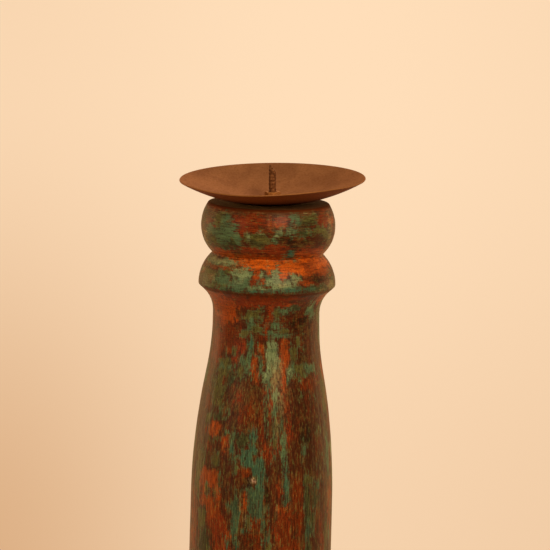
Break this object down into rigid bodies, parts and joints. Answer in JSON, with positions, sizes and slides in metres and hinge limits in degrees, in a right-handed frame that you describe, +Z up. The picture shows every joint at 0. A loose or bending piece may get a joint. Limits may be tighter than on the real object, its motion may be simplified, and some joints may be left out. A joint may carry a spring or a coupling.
{
  "type": "pricket candle stand",
  "caption": "Turned wooden candle stand with a dished iron drip pan and a pointed spike that takes a pillar candle.",
  "frame": {"origin": "middle of the footprint, on the surface that the stand rests on", "axes": "+Z up along the column's turning axis; -Y is the side that faces the viewer in the picture"},
  "size_m": [0.13, 0.13, 0.3984],
  "materials": {
    "painted_wood": "layered rust-red, brown and worn green paint, rubbed and waxed to a satin",
    "pan_iron": "copper-brown lacquered iron sheet, slightly worn at the rim",
    "spike_iron": "dark brown rusted iron",
    "screw_steel": "dull zinc-coated steel",
    "cork": "raw pressed cork"
  },
  "bodies": {
    "root": {"column": "painted_wood", "foot": "painted_wood", "cork_pad": "cork", "foot_screw": "screw_steel", "foot_screw_washer": "screw_steel", "drip_pan": "pan_iron", "spike_washer": "spike_iron", "spike_nut": "spike_iron", "pricket_spike": "spike_iron"}
  },
  "joints": []
}
